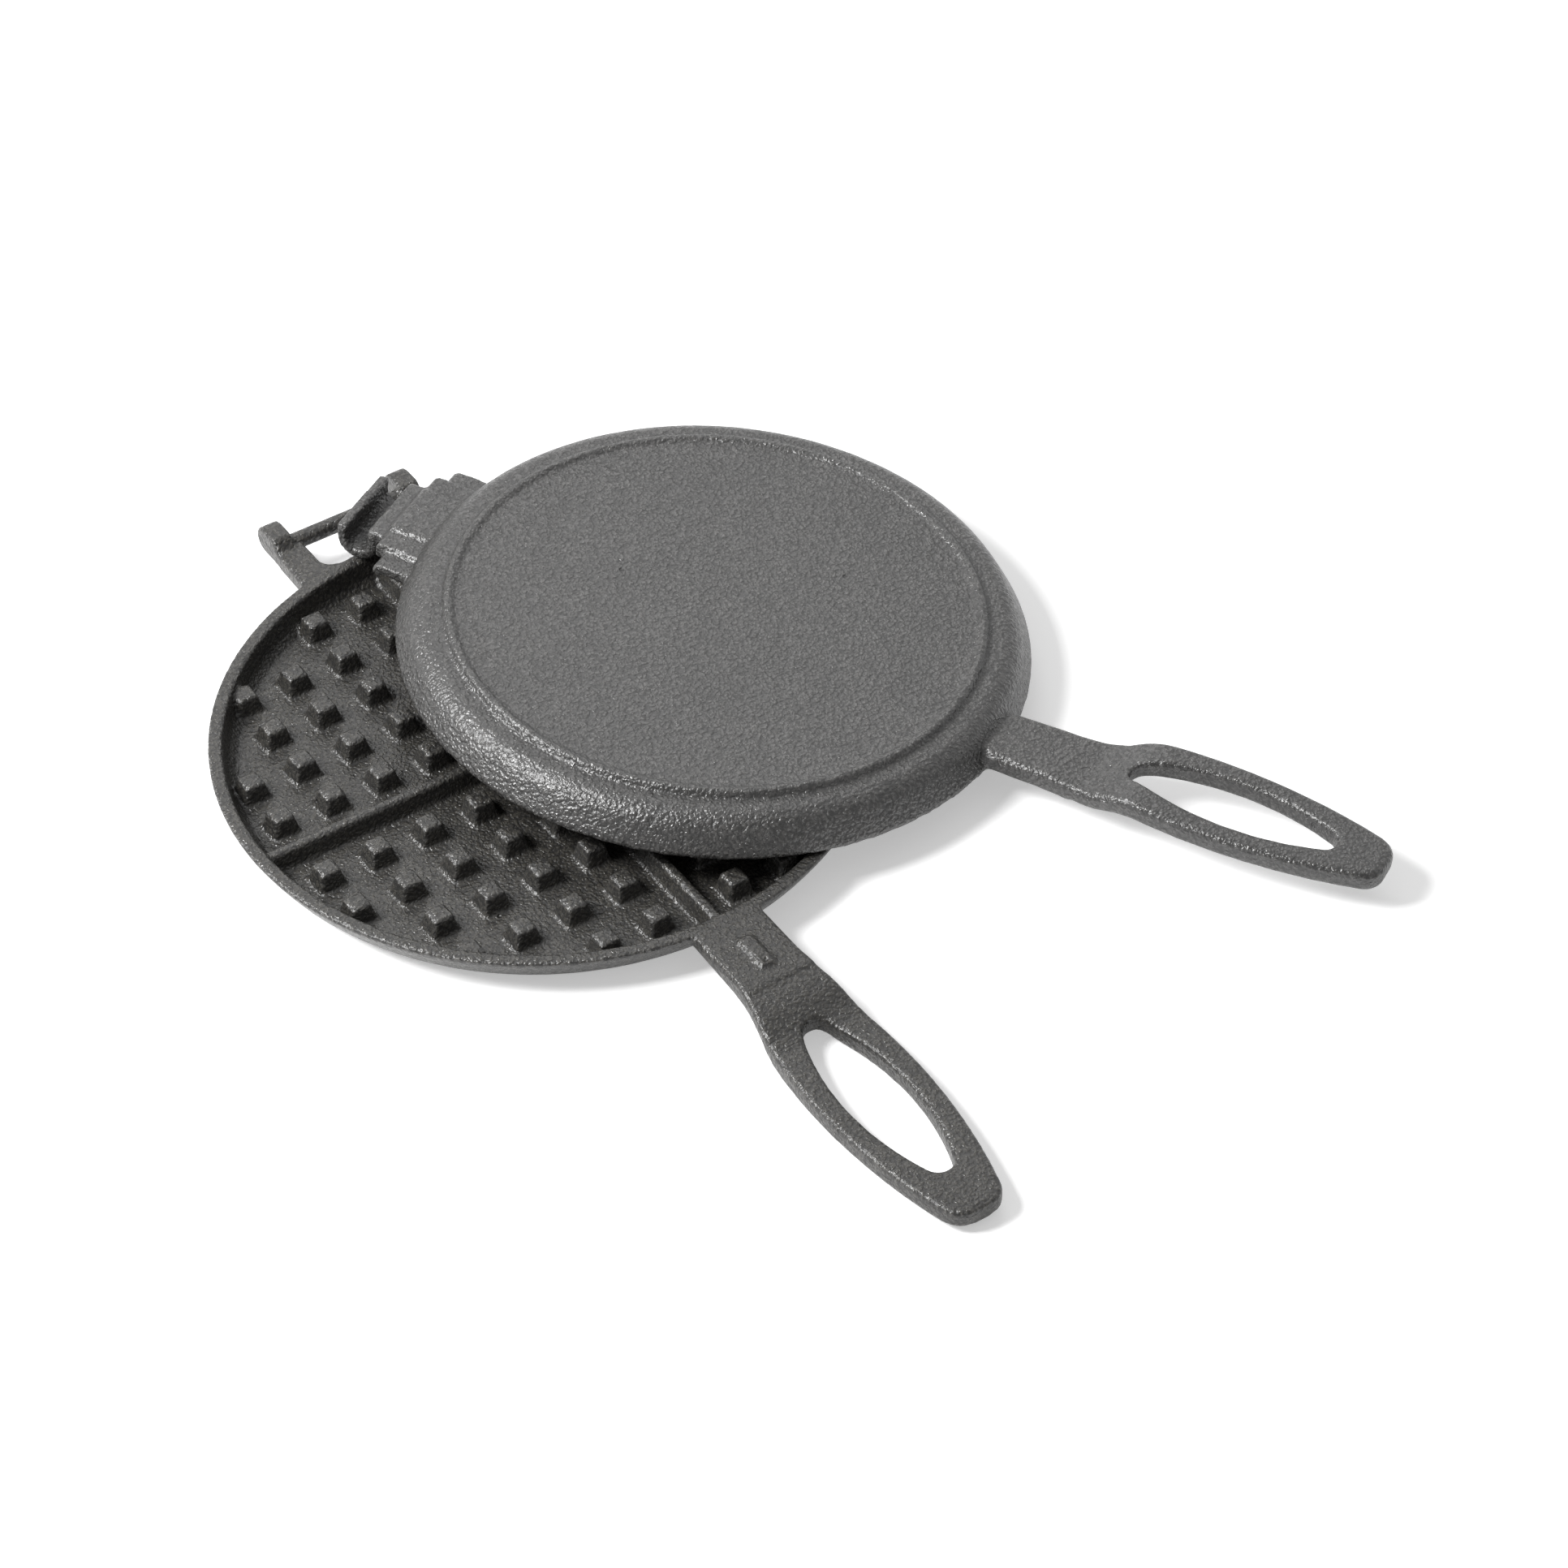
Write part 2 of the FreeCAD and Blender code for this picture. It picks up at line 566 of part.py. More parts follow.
def add_hook(body, rim):
    """Stepped hinge block on the rim, with a hook that goes under the other plate's bar."""
    axis_x, axis_z = -size["bar_offset"], size["bar_drop"]
    inner = size["bar_radius"] + size["hook_gap"]
    outer = inner + size["hook_wall"]
    seat_x = size["root_overlap"] - rim
    for name, half, depth, setback in (
        ("wings", size["wing_half"], size["wing_depth"], size["wing_setback"]),
        ("shoulders", size["shoulder_half"], size["shoulder_depth"], ZERO),
        ("raised_middle", size["block_half"], size["block_depth"], ZERO),
    ):
        face_x = setback - rim - size["block_reach"]
        side = sketch_on(body, name + "_side", "XZ_Plane")
        draw_loops(side, [(
            (seat_x, -size["block_gap"]),
            (face_x, -size["block_gap"]),
            (face_x, size["block_bevel"] - depth),
            (face_x + size["block_bevel"], -depth),
            (seat_x, -depth),
        )])
        pad(body, name, side, half.times(2), both_ways=True)
    hook = sketch_on(body, "hook_side", "XZ_Plane")
    root_x = -rim - size["root_overlap"]
    draw_loops(hook, [(
        (axis_x - outer, axis_z - size["lip_rise"]),
        (axis_x - inner, axis_z - size["lip_rise"]),
        (axis_x - inner, axis_z, (axis_x, axis_z), False),
        (axis_x + inner, axis_z),
        (axis_x + inner, size["block_bevel"] - size["shoulder_depth"]),
        (root_x, size["block_bevel"] - size["shoulder_depth"]),
        (root_x, -size["block_gap"]),
        (axis_x + outer, -size["block_gap"]),
        (axis_x + outer, axis_z, (axis_x, axis_z), True),
        (axis_x - outer, axis_z),
    )])
    pad(body, "hook", hook, size["hook_half"].times(2), both_ways=True)


def new_plate(label):
    body = doc.addObject("PartDesign::Body", label)
    body.Label = label
    return body


# Bottom plate: carries the hinge bar and the locating key
bottom_rim = size["rim_radius"]
bottom = new_plate("bottom_plate")
add_handle(bottom, bottom_rim, WHOLE)
add_dish(bottom, bottom_rim)
add_hinge_bar(bottom, bottom_rim)
key_start = bottom_rim + size["key_reach"]
key_outline = sketch_on(bottom, "key_outline", "XY_Plane", -size["root_top"])
key_half = size["key_width"].times(0.5)
draw_loops(key_outline, [box(key_start, key_start + size["key_length"], -key_half, key_half)])
pad(bottom, "key", key_outline, size["root_top"] + size["key_height"])
pit_outline = sketch_on(bottom, "pit_outline", "XY_Plane", size["key_height"])
pit_x = key_start + size["key_length"] - size["pit_radius"].times(2)
draw_circle(pit_outline, pit_x, ZERO, size["pit_radius"])
pocket(bottom, "pit", pit_outline, size["key_height"])
add_studs(bottom, bottom_rim)

# Top plate: carries the hook and the keyway
top_rim = size["rim_radius"].shared(size["lid_share"])
top = new_plate("top_plate")
add_handle(top, top_rim, size["lid_share"])
add_dish(top, top_rim)
add_hook(top, top_rim)
keyway_outline = sketch_on(top, "keyway_outline", "XY_Plane")
way_half = key_half + size["key_gap"]
way_start = key_start - size["key_gap"]
way_end = key_start + size["key_length"] + size["key_gap"]
draw_loops(keyway_outline, [box(way_start, way_end, -way_half, way_half)])
pocket(top, "keyway", keyway_outline, size["key_height"] + size["key_gap"])
add_studs(top, top_rim)
doc.recompute()

# The top plate lies waffle side down, its hook on a hinge arm and its rim on the bottom plate's rim.
# The rims meet at the crossing of two circles, and the slope follows from the hook's depth.
middle = Vector(size["lid_shift_x"].value, size["lid_shift_y"].value, 0)
apart = middle.Length
along = (apart ** 2 + bottom_rim.value ** 2 - top_rim.value ** 2) / (2 * apart)
across = math.sqrt(bottom_rim.value ** 2 - along ** 2)
crossing = (middle * along + Vector(middle.y, -middle.x, 0) * across) / apart
turn = Rotation(Vector(0, 0, 1), size["lid_turn"].value)
fall = Rotation(Vector(0, 0, 1), size["fall_turn"].value).multVec(Vector(1, 0, 0))
hook_low = middle + turn.multVec(Vector(-size["bar_offset"].value, size["hook_half"].value, 0))
hook_depth = size["bar_drop"] + size["bar_radius"] + size["hook_gap"] + size["hook_wall"]
slope = hook_depth.value / (crossing - hook_low).dot(fall)
middle.z = size["plate_height"].value + size["rest_gap"].value + slope * (crossing - middle).dot(fall)
tilt = Rotation(Vector(0, 0, 1).cross(fall), math.degrees(math.atan(slope)))
flip = Rotation(Vector(1, 0, 0), 180)
bottom.Placement = Placement(Vector(0, 0, size["plate_height"].value), Rotation())
top.Placement = Placement(middle, tilt * turn * flip)
doc.recompute()

for item in doc.Objects:
    if "Invalid" in item.State or "Error" in item.State:
        raise RuntimeError(f"{item.Name} failed: {item.State}")
os.makedirs("parts", exist_ok=True)
for plate in (bottom, top):
    shape = plate.Shape
    if shape.isNull() or not shape.isValid() or len(shape.Solids) != 1:
        raise RuntimeError(f"{plate.Label} is not one valid solid")
    shape.exportStep(f"parts/{plate.Label}.step")
    print(plate.Label, "volume", round(shape.Volume), "box", shape.BoundBox)
hinge_point = top.Placement.multVec(Vector(-size["bar_offset"].value, 0, size["bar_drop"].value))
print("hinge axis through", hinge_point, "along", top.Placement.Rotation.multVec(Vector(0, 1, 0)))
print("slope in degrees", round(math.degrees(math.atan(slope)), 2))
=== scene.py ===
import bmesh
import bpy
from mathutils import Matrix, Vector


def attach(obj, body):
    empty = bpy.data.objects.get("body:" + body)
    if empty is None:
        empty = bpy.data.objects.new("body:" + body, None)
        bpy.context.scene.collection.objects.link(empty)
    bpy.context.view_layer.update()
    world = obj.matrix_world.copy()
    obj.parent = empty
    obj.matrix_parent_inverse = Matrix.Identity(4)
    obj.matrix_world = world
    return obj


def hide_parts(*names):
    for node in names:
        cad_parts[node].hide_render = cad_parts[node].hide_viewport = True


# Cast-iron waffle iron for a stove, in two castings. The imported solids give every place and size,
# in metres. The bottom plate stands on the floor and the top plate lies on it, unhooked.
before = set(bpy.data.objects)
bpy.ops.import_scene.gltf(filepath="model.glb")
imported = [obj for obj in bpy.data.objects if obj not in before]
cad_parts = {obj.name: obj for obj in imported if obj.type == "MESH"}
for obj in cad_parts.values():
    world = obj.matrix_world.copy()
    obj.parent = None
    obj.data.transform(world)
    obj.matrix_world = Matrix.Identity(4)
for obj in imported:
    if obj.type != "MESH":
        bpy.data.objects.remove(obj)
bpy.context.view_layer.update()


# Bottom plate: one sand casting in grey iron with its handle, hinge arms and bar, shot-blasted and
# seasoned with baked oil. Its edges are rounded as the sand leaves them, and its skin is pebbled.
casting_tree = bpy.data.node_groups.new("sand_cast_skin", "GeometryNodeTree")
for name, kind, flow in (
    ("Casting", "NodeSocketGeometry", "INPUT"),
    ("Rounding Steps", "NodeSocketInt", "INPUT"),
    ("Crest Steps", "NodeSocketInt", "INPUT"),
    ("Crest Height", "NodeSocketFloat", "INPUT"),
    ("Sand Wave", "NodeSocketFloat", "INPUT"),
    ("Sand Height", "NodeSocketFloat", "INPUT"),
    ("Iron", "NodeSocketMaterial", "INPUT"),
    ("Casting", "NodeSocketGeometry", "OUTPUT"),
):
    casting_tree.interface.new_socket(name, in_out=flow, socket_type=kind)


def add_node(tree, kind, **settings):
    """A new node in a tree, with its settings."""
    node = tree.nodes.new(kind)
    for key, value in settings.items():
        setattr(node, key, value)
    return node


skin_in = add_node(casting_tree, "NodeGroupInput")
skin_out = add_node(casting_tree, "NodeGroupOutput")
place = add_node(casting_tree, "GeometryNodeInputPosition")
facing = add_node(casting_tree, "GeometryNodeInputNormal")

# Edges and corners melt into each other, as in damp sand
melt = add_node(casting_tree, "GeometryNodeBlurAttribute", data_type="FLOAT_VECTOR")
melted = add_node(casting_tree, "GeometryNodeSetPosition")
casting_tree.links.new(place.outputs["Position"], melt.inputs["Value"])
casting_tree.links.new(skin_in.outputs["Rounding Steps"], melt.inputs["Iterations"])
casting_tree.links.new(skin_in.outputs["Casting"], melted.inputs["Geometry"])
casting_tree.links.new(melt.outputs["Value"], melted.inputs["Position"])

# How far a spot stands out of the skin round it: the iron's colour makes crests paler (wear and
# painted highlight) and paints shade into hollows
spread = add_node(casting_tree, "GeometryNodeBlurAttribute", data_type="FLOAT_VECTOR")
stand = add_node(casting_tree, "ShaderNodeVectorMath", operation="SUBTRACT")
outward = add_node(casting_tree, "ShaderNodeVectorMath", operation="DOT_PRODUCT")
ratio = add_node(casting_tree, "ShaderNodeMath", operation="DIVIDE")
crest = add_node(casting_tree, "GeometryNodeStoreNamedAttribute", data_type="FLOAT", domain="POINT")
crest.inputs["Name"].default_value = "crest"
casting_tree.links.new(place.outputs["Position"], spread.inputs["Value"])
casting_tree.links.new(skin_in.outputs["Crest Steps"], spread.inputs["Iterations"])
casting_tree.links.new(place.outputs["Position"], stand.inputs[0])
casting_tree.links.new(spread.outputs["Value"], stand.inputs[1])
casting_tree.links.new(stand.outputs["Vector"], outward.inputs[0])
casting_tree.links.new(facing.outputs["Normal"], outward.inputs[1])
casting_tree.links.new(outward.outputs["Value"], ratio.inputs[0])
casting_tree.links.new(skin_in.outputs["Crest Height"], ratio.inputs[1])
casting_tree.links.new(melted.outputs["Geometry"], crest.inputs["Geometry"])
casting_tree.links.new(ratio.outputs["Value"], crest.inputs["Value"])

# Slow waves of the mould's face
waves = add_node(casting_tree, "ShaderNodeTexNoise", noise_dimensions="3D")
waves.inputs["Detail"].default_value = 1.0
wave_scale = add_node(casting_tree, "ShaderNodeMath", operation="DIVIDE")
wave_scale.inputs[0].default_value = 1.0
centred = add_node(casting_tree, "ShaderNodeMath", operation="SUBTRACT")
centred.inputs[1].default_value = 0.5
height = add_node(casting_tree, "ShaderNodeMath", operation="MULTIPLY")
lift = add_node(casting_tree, "ShaderNodeVectorMath", operation="SCALE")
wavy = add_node(casting_tree, "GeometryNodeSetPosition")
smooth = add_node(casting_tree, "GeometryNodeSetShadeSmooth")
whole = add_node(casting_tree, "GeometryNodeRealizeInstances")
coat = add_node(casting_tree, "GeometryNodeSetMaterial")
casting_tree.links.new(place.outputs["Position"], waves.inputs["Vector"])
casting_tree.links.new(skin_in.outputs["Sand Wave"], wave_scale.inputs[1])
casting_tree.links.new(wave_scale.outputs["Value"], waves.inputs["Scale"])
casting_tree.links.new(waves.outputs["Fac"], centred.inputs[0])
casting_tree.links.new(centred.outputs["Value"], height.inputs[0])
casting_tree.links.new(skin_in.outputs["Sand Height"], height.inputs[1])
casting_tree.links.new(facing.outputs["Normal"], lift.inputs["Vector"])
casting_tree.links.new(height.outputs["Value"], lift.inputs["Scale"])
casting_tree.links.new(crest.outputs["Geometry"], wavy.inputs["Geometry"])
casting_tree.links.new(lift.outputs["Vector"], wavy.inputs["Offset"])
casting_tree.links.new(wavy.outputs["Geometry"], smooth.inputs["Geometry"])
casting_tree.links.new(smooth.outputs["Geometry"], whole.inputs["Geometry"])
casting_tree.links.new(whole.outputs["Geometry"], coat.inputs["Geometry"])
casting_tree.links.new(skin_in.outputs["Iron"], coat.inputs["Material"])
casting_tree.links.new(coat.outputs["Geometry"], skin_out.inputs["Casting"])


coarse_grain, fine_grain = 0.0012, 0.0006
bevel_fill = 0.0011


def fill_handle_bevels(rough, lay, handle_start, fill):
    """Makes the bevels on the handle's outer side narrower, as far as a pattern maker's rounding."""
    to_plate = lay.inverted()
    turn = to_plate.to_3x3()
    moves = []
    for corner in rough.verts:
        if (to_plate @ corner.co).x < handle_start:
            continue
        normals = [turn @ face.normal for face in corner.link_faces]
        slants = [normal for normal in normals if -0.85 < normal.z < -0.5]
        if not slants:
            continue
        if any(normal.z < -0.9 for normal in normals):
            across = sum(slants, Vector())
            across.z = 0.0
            moves.append((corner, lay.to_3x3() @ across.normalized() * fill))
        elif any(abs(normal.z) < 0.15 for normal in normals):
            moves.append((corner, lay.to_3x3() @ Vector((0.0, 0.0, -fill))))
    for corner, move in moves:
        corner.co += move


def cast_plate(name, node, lay, handle_start, values, keep_share):
    """A finished casting made from a CAD node: fine skin, rounded edges, crests marked."""
    rough = bmesh.new()
    rough.from_mesh(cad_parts[node].data)
    bmesh.ops.remove_doubles(rough, verts=rough.verts, dist=1e-6)
    rough.normal_update()
    fill_handle_bevels(rough, lay, handle_start, bevel_fill)
    mould = bpy.data.meshes.new(name + "_mould")
    rough.to_mesh(mould)
    rough.free()
    blank = bpy.data.objects.new(name + "_blank", mould)
    bpy.context.scene.collection.objects.link(blank)
    sand = blank.modifiers.new("sand", "REMESH")
    sand.mode = "VOXEL"
    sand.voxel_size = fine_grain
    skin = blank.modifiers.new("skin", "NODES")
    skin.node_group = casting_tree
    for item in casting_tree.interface.items_tree:
        if item.in_out == "INPUT" and item.name in values:
            skin[item.identifier] = values[item.name]
    fewer = blank.modifiers.new("fewer", "DECIMATE")
    fewer.ratio = keep_share
    seen = blank.evaluated_get(bpy.context.evaluated_depsgraph_get())
    casting = bpy.data.objects.new(name, bpy.data.meshes.new_from_object(seen))
    casting.data.name = name
    bpy.context.scene.collection.objects.link(casting)
    bpy.data.objects.remove(blank)
    bpy.data.meshes.remove(mould)
    return casting


# Grain of the seasoned skin: round pebbles, finer sand between them and a few open pits
grain = bpy.data.node_groups.new("seasoned_grain", "ShaderNodeTree")
for name, kind, flow in (
    ("Pebble Size", "NodeSocketFloat", "INPUT"),
    ("Sand Share", "NodeSocketFloat", "INPUT"),
    ("Pit Spacing", "NodeSocketFloat", "INPUT"),
    ("Height", "NodeSocketFloat", "OUTPUT"),
    ("Pits", "NodeSocketFloat", "OUTPUT"),
    ("Blotches", "NodeSocketFloat", "OUTPUT"),
):
    grain.interface.new_socket(name, in_out=flow, socket_type=kind)


grain_in = add_node(grain, "NodeGroupInput")
grain_out = add_node(grain, "NodeGroupOutput")
where = add_node(grain, "ShaderNodeTexCoord")
pebble_scale = add_node(grain, "ShaderNodeMath", operation="DIVIDE")
pebble_scale.inputs[0].default_value = 1.0
grain.links.new(grain_in.outputs["Pebble Size"], pebble_scale.inputs[1])

# The pebbles are pushed about a little, so that no rows show
shove = add_node(grain, "ShaderNodeTexNoise", noise_dimensions="3D")
shove.inputs["Detail"].default_value = 0.0
shove_amount = add_node(grain, "ShaderNodeVectorMath", operation="SCALE")
shoved = add_node(grain, "ShaderNodeVectorMath", operation="ADD")
pebbles = add_node(grain, "ShaderNodeTexVoronoi", feature="SMOOTH_F1", voronoi_dimensions="3D")
pebbles.inputs["Smoothness"].default_value = 0.7
sand = add_node(grain, "ShaderNodeTexNoise", noise_dimensions="3D")
sand.inputs["Detail"].default_value = 3.0
sand.inputs["Roughness"].default_value = 0.6
sand_scale = add_node(grain, "ShaderNodeMath", operation="MULTIPLY")
sand_scale.inputs[1].default_value = 1.7
round_top = add_node(grain, "ShaderNodeMath", operation="SUBTRACT")
round_top.inputs[0].default_value = 1.0
sand_part = add_node(grain, "ShaderNodeMath", operation="MULTIPLY")
surface = add_node(grain, "ShaderNodeMath", operation="ADD")
grain.links.new(where.outputs["Object"], shove.inputs["Vector"])
grain.links.new(pebble_scale.outputs["Value"], shove.inputs["Scale"])
grain.links.new(shove.outputs["Color"], shove_amount.inputs["Vector"])
grain.links.new(grain_in.outputs["Pebble Size"], shove_amount.inputs["Scale"])
grain.links.new(where.outputs["Object"], shoved.inputs[0])
grain.links.new(shove_amount.outputs["Vector"], shoved.inputs[1])
grain.links.new(shoved.outputs["Vector"], pebbles.inputs["Vector"])
grain.links.new(pebble_scale.outputs["Value"], pebbles.inputs["Scale"])
grain.links.new(pebble_scale.outputs["Value"], sand_scale.inputs[0])
grain.links.new(where.outputs["Object"], sand.inputs["Vector"])
grain.links.new(sand_scale.outputs["Value"], sand.inputs["Scale"])
grain.links.new(pebbles.outputs["Distance"], round_top.inputs[1])
grain.links.new(sand.outputs["Fac"], sand_part.inputs[0])
grain.links.new(grain_in.outputs["Sand Share"], sand_part.inputs[1])
grain.links.new(round_top.outputs["Value"], surface.inputs[0])
grain.links.new(sand_part.outputs["Value"], surface.inputs[1])

# Pits left by burst sand grains: small round holes, far apart
pit_scale = add_node(grain, "ShaderNodeMath", operation="DIVIDE")
pit_scale.inputs[0].default_value = 1.0
pits = add_node(grain, "ShaderNodeTexVoronoi", feature="F1", voronoi_dimensions="3D")
pit_mask = add_node(grain, "ShaderNodeMapRange", interpolation_type="SMOOTHSTEP")
pit_mask.inputs["From Min"].default_value = 0.028
pit_mask.inputs["From Max"].default_value = 0.05
pit_mask.inputs["To Min"].default_value = 1.0
pit_mask.inputs["To Max"].default_value = 0.0
pit_depth = add_node(grain, "ShaderNodeMath", operation="MULTIPLY")
pit_depth.inputs[1].default_value = 1.6
dug = add_node(grain, "ShaderNodeMath", operation="SUBTRACT")
grain.links.new(grain_in.outputs["Pit Spacing"], pit_scale.inputs[1])
grain.links.new(where.outputs["Object"], pits.inputs["Vector"])
grain.links.new(pit_scale.outputs["Value"], pits.inputs["Scale"])
grain.links.new(pits.outputs["Distance"], pit_mask.inputs["Value"])
grain.links.new(pit_mask.outputs["Result"], pit_depth.inputs[0])
grain.links.new(surface.outputs["Value"], dug.inputs[0])
grain.links.new(pit_depth.outputs["Value"], dug.inputs[1])
grain.links.new(dug.outputs["Value"], grain_out.inputs["Height"])
grain.links.new(pit_mask.outputs["Result"], grain_out.inputs["Pits"])

# Blotches where the oil has baked thicker
blotches = add_node(grain, "ShaderNodeTexNoise", noise_dimensions="3D")
blotches.inputs["Scale"].default_value = 45.0
blotches.inputs["Detail"].default_value = 4.0
grain.links.new(where.outputs["Object"], blotches.inputs["Vector"])
grain.links.new(blotches.outputs["Fac"], grain_out.inputs["Blotches"])


def seasoned_iron(name, dark, light, oil_shine, pebble_size, pebble_height):
    """Seasoned iron: painted shade in hollows, pebble gaps and pits, paler crests for wear and a
    painted highlight, a pebbled satin skin.
    """
    iron = bpy.data.materials.new(name)
    iron.use_nodes = True
    nodes, links = iron.node_tree.nodes, iron.node_tree.links
    shader = nodes["Principled BSDF"]
    shader.inputs["Metallic"].default_value = 0.0
    shader.inputs["Specular IOR Level"].default_value = oil_shine
    skin = nodes.new("ShaderNodeGroup")
    skin.node_tree = grain
    skin.inputs["Pebble Size"].default_value = pebble_size
    skin.inputs["Sand Share"].default_value = 0.45
    skin.inputs["Pit Spacing"].default_value = 0.019
    crests = nodes.new("ShaderNodeAttribute")
    crests.attribute_name = "crest"

    # Colour: oil and iron by blotches, painted shade in pits, pebble gaps and hollows, paler crests
    # for wear and a painted highlight
    tone = nodes.new("ShaderNodeMapRange")
    tone.inputs["From Min"].default_value = 0.3
    tone.inputs["From Max"].default_value = 0.7
    body = nodes.new("ShaderNodeMix")
    body.data_type = "RGBA"
    body.inputs["A"].default_value = (*dark, 1.0)
    body.inputs["B"].default_value = (*light, 1.0)
    # Paler crests: partly rubbed wear, partly a painted highlight along convex edges
    wear_and_highlight_mask = nodes.new("ShaderNodeMapRange")
    wear_and_highlight_mask.inputs["From Min"].default_value = 0.5
    wear_and_highlight_mask.inputs["From Max"].default_value = 1.6
    wear_and_highlight_mask.inputs["To Max"].default_value = 0.3
    wear_and_highlight_mix = nodes.new("ShaderNodeMix")
    wear_and_highlight_mix.data_type = "RGBA"
    wear_and_highlight_mix.inputs["B"].default_value = (0.11, 0.107, 0.102, 1.0)
    # Painted shade: near-black mixed in where the skin dips into hollows, between the pebbles and in
    # the pits
    hollow_shade_mask = nodes.new("ShaderNodeMapRange")
    hollow_shade_mask.inputs["From Min"].default_value = -0.2
    hollow_shade_mask.inputs["From Max"].default_value = -1.1
    hollow_shade_mask.inputs["To Max"].default_value = 0.55
    gap_shade_mask = nodes.new("ShaderNodeMapRange")
    gap_shade_mask.inputs["From Min"].default_value = 0.95
    gap_shade_mask.inputs["From Max"].default_value = 0.62
    gap_shade_mask.inputs["To Max"].default_value = 0.9
    pit_and_gap_shade = nodes.new("ShaderNodeMath")
    pit_and_gap_shade.operation = "MAXIMUM"
    painted_shade_mask = nodes.new("ShaderNodeMath")
    painted_shade_mask.operation = "MAXIMUM"
    painted_shade_mix = nodes.new("ShaderNodeMix")
    painted_shade_mix.data_type = "RGBA"
    painted_shade_mix.inputs["B"].default_value = (0.010, 0.0095, 0.009, 1.0)
    links.new(skin.outputs["Blotches"], tone.inputs["Value"])
    links.new(tone.outputs["Result"], body.inputs["Factor"])
    links.new(crests.outputs["Fac"], wear_and_highlight_mask.inputs["Value"])
    links.new(wear_and_highlight_mask.outputs["Result"], wear_and_highlight_mix.inputs["Factor"])
    links.new(body.outputs["Result"], wear_and_highlight_mix.inputs["A"])
    links.new(crests.outputs["Fac"], hollow_shade_mask.inputs["Value"])
    links.new(hollow_shade_mask.outputs["Result"], painted_shade_mask.inputs[0])
    links.new(skin.outputs["Height"], gap_shade_mask.inputs["Value"])
    links.new(skin.outputs["Pits"], pit_and_gap_shade.inputs[0])
    links.new(gap_shade_mask.outputs["Result"], pit_and_gap_shade.inputs[1])
    links.new(pit_and_gap_shade.outputs["Value"], painted_shade_mask.inputs[1])
    links.new(painted_shade_mask.outputs["Value"], painted_shade_mix.inputs["Factor"])
    links.new(wear_and_highlight_mix.outputs["Result"], painted_shade_mix.inputs["A"])
    links.new(painted_shade_mix.outputs["Result"], shader.inputs["Base Color"])

    # Gloss: pebble tops are rubbed smoother than the sand between them
    gloss = nodes.new("ShaderNodeMapRange")
    gloss.inputs["From Min"].default_value = 0.5
    gloss.inputs["From Max"].default_value = 1.1
    gloss.inputs["To Min"].default_value = 0.45
    gloss.inputs["To Max"].default_value = 0.24
    links.new(skin.outputs["Height"], gloss.inputs["Value"])
    links.new(gloss.outputs["Result"], shader.inputs["Roughness"])
    bump = nodes.new("ShaderNodeBump")
    bump.inputs["Strength"].default_value = 1.0
    bump.inputs["Distance"].default_value = pebble_height
    links.new(skin.outputs["Height"], bump.inputs["Height"])
    links.new(bump.outputs["Normal"], shader.inputs["Normal"])
    return iron


pebble_size = 0.00105
# The bottom plate's iron is the top plate's iron made darker and given lower oil_shine: painted
# shade, for the nearer, lower plate; its slight warm tint is kept
bottom_iron = seasoned_iron(
    "bottom_plate_iron", (0.033, 0.0308, 0.0268), (0.046, 0.0430, 0.0374),
    oil_shine=0.7, pebble_size=pebble_size, pebble_height=0.00036)
cast_skin = {
    "Rounding Steps": 3,
    "Crest Steps": 14,
    "Crest Height": 0.0003,
    "Sand Wave": 0.007,
    "Sand Height": 0.00012,
}
kept_triangles = 0.31
bottom_lay = Matrix.Translation((0.0, 0.0, 0.0135))
bottom_handle_start = 0.112
bottom_plate = cast_plate(
    "bottom_plate_casting", "bottom_plate", bottom_lay, bottom_handle_start,
    {**cast_skin, "Iron": bottom_iron}, kept_triangles)
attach(bottom_plate, "base")
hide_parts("bottom_plate")


# Top plate: the second sand casting, with its own handle, hinge block and open hook. It is seasoned
# like the bottom one, and lies waffle side down with its pebbled outside up.
top_iron = seasoned_iron(
    "top_plate_iron", (0.041, 0.0394, 0.0378), (0.060, 0.0577, 0.0553),
    oil_shine=1.0, pebble_size=pebble_size, pebble_height=0.00038)
top_lay = Matrix((
    (0.865011, 0.500610, -0.033859, -0.0017),
    (0.498169, -0.864925, -0.061083, 0.0606),
    (-0.059865, 0.035970, -0.997558, 0.01579),
    (0.0, 0.0, 0.0, 1.0),
))
top_handle_start = 0.109
top_plate = cast_plate(
    "top_plate_casting", "top_plate", top_lay, top_handle_start,
    {**cast_skin, "Iron": top_iron}, kept_triangles)
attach(top_plate, "lid")
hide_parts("top_plate")


# Studio floor: a wide sheet of white paper that runs out of the view on every side.
# It is matt, and takes the soft shadows under and beside the plates.
paper_half = 4.0
paper = bpy.data.meshes.new("studio_paper")
paper_corners = [(-paper_half, -paper_half, 0), (paper_half, -paper_half, 0),
                 (paper_half, paper_half, 0), (-paper_half, paper_half, 0)]
paper.from_pydata(paper_corners, [], [(0, 1, 2, 3)])
floor = bpy.data.objects.new("studio_floor", paper)
bpy.context.scene.collection.objects.link(floor)
paper_white = bpy.data.materials.new("studio_paper_white")
paper_white.use_nodes = True
paper_tree = paper_white.node_tree
sheet = paper_tree.nodes["Principled BSDF"]
sheet.inputs["Base Color"].default_value = (0.82, 0.82, 0.82, 1.0)
sheet.inputs["Roughness"].default_value = 0.9
sheet.inputs["Specular IOR Level"].default_value = 0.1
sheet.inputs["Emission Color"].default_value = (1.0, 1.0, 1.0, 1.0)

